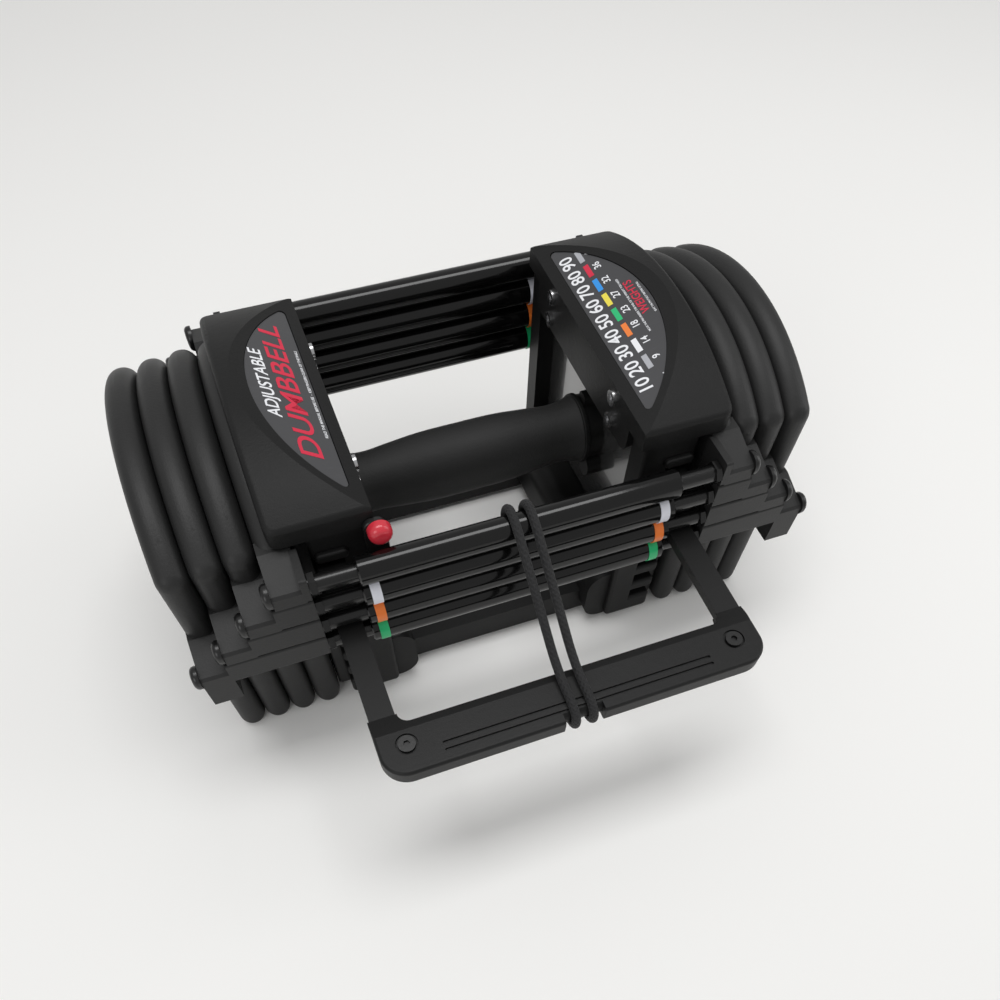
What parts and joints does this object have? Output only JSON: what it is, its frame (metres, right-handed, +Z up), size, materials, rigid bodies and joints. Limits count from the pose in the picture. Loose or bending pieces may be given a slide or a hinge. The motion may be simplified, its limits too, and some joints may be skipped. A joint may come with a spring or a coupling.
{
  "type": "adjustable dumbbell",
  "caption": "Adjustable dumbbell with nested end-plate weights on rails, a slotted handle block with a rubber grip, and a U-shaped selector pin on an elastic lanyard.",
  "frame": {"origin": "centre of the footprint on the floor, with the pin drawn part way out to the front", "axes": "+X along the grip to the right, +Y away from the pin's bar, +Z up"},
  "size_m": [0.3204, 0.26, 0.1584],
  "materials": {
    "urethane": "matte urethane over steel",
    "rod_steel": "satin",
    "gloss_sleeve": "gloss black",
    "black_bolt": "black oxide",
    "ring_white": "satin",
    "ring_orange": "satin",
    "ring_green": "satin",
    "cover_plastic": "fine texture",
    "label_film": "satin film",
    "gloss_plate": "gloss black",
    "block_steel": "satin black",
    "column_plastic": "matte",
    "adder_steel": "polished",
    "latch_steel": "black",
    "red_knob": "gloss",
    "grip_rubber": "matte",
    "screw_steel": "satin",
    "pin_steel": "matte black",
    "pin_plastic": "matte",
    "lanyard": "braided elastic"
  },
  "bodies": {
    "weight_20": {"w20_plate_left": "urethane", "w20_plate_right": "urethane", "w20_rods": "rod_steel", "w20_sleeve_front": "gloss_sleeve", "w20_sleeve_back": "gloss_sleeve", "w20_bolts": "black_bolt", "lanyard_loop": "lanyard", "lanyard_strands": "lanyard"},
    "weight_30": {"w30_plate_left": "urethane", "w30_plate_right": "urethane", "w30_rods": "rod_steel", "w30_sleeve_front": "gloss_sleeve", "w30_sleeve_back": "gloss_sleeve", "w30_bolts": "black_bolt", "w30_rings": "ring_white"},
    "weight_40": {"w40_plate_left": "urethane", "w40_plate_right": "urethane", "w40_rods": "rod_steel", "w40_sleeve_front": "gloss_sleeve", "w40_sleeve_back": "gloss_sleeve", "w40_bolts": "black_bolt", "w40_rings": "ring_orange"},
    "weight_50": {"w50_plate_left": "urethane", "w50_plate_right": "urethane", "w50_rods": "rod_steel", "w50_sleeve_front": "gloss_sleeve", "w50_sleeve_back": "gloss_sleeve", "w50_bolts": "black_bolt", "w50_rings": "ring_green"},
    "handle": {"handle_tube": "rod_steel", "grip": "grip_rubber", "handle_screws": "screw_steel", "cover_left": "cover_plastic", "label_left": "label_film", "inner_plate_left": "gloss_plate", "outer_plate_left": "block_steel", "collar_left": "cover_plastic", "adder_housing_left": "column_plastic", "adder_left": "adder_steel", "column_front_left": "column_plastic", "column_back_left": "column_plastic", "cover_right": "cover_plastic", "label_right": "label_film", "inner_plate_right": "gloss_plate", "outer_plate_right": "block_steel", "collar_right": "cover_plastic", "adder_housing_right": "column_plastic", "adder_right": "adder_steel", "column_front_right": "column_plastic", "column_back_right": "column_plastic", "lower_bar_front": "column_plastic", "lower_bar_back": "column_plastic"},
    "latch": {"latch_bar": "latch_steel", "latch_knob": "red_knob"},
    "pin": {"pin_prongs": "pin_steel", "pin_shell_upper": "pin_plastic", "pin_shell_lower": "pin_plastic", "pin_screws": "screw_steel", "lanyard_wrap": "lanyard"}
  },
  "joints": [
    {"name": "handle_lift", "type": "slide", "parent": "weight_50", "child": "handle", "axis": [0, 0, 1], "range_m": [0, 0.25]},
    {"name": "weight_40_lift", "type": "slide", "parent": "weight_50", "child": "weight_40", "axis": [0, 0, 1], "range_m": [0, 0.25]},
    {"name": "weight_30_lift", "type": "slide", "parent": "weight_50", "child": "weight_30", "axis": [0, 0, 1], "range_m": [0, 0.25]},
    {"name": "weight_20_lift", "type": "slide", "parent": "weight_50", "child": "weight_20", "axis": [0, 0, 1], "range_m": [0, 0.25]},
    {"name": "pin_slide", "type": "slide", "parent": "weight_20", "child": "pin", "axis": [0, 1, 0], "range_m": [-0.15, 0.048], "deforming": ["lanyard_strands"]},
    {"name": "latch_slide", "type": "slide", "parent": "handle", "child": "latch", "axis": [0, 0, 1], "range_m": [0, 0.028]}
  ],
  "couplings": [
    {"joint": "weight_40_lift", "follows": "handle_lift", "ratio": 1},
    {"joint": "weight_30_lift", "follows": "handle_lift", "ratio": 1},
    {"joint": "weight_20_lift", "follows": "handle_lift", "ratio": 1}
  ]
}
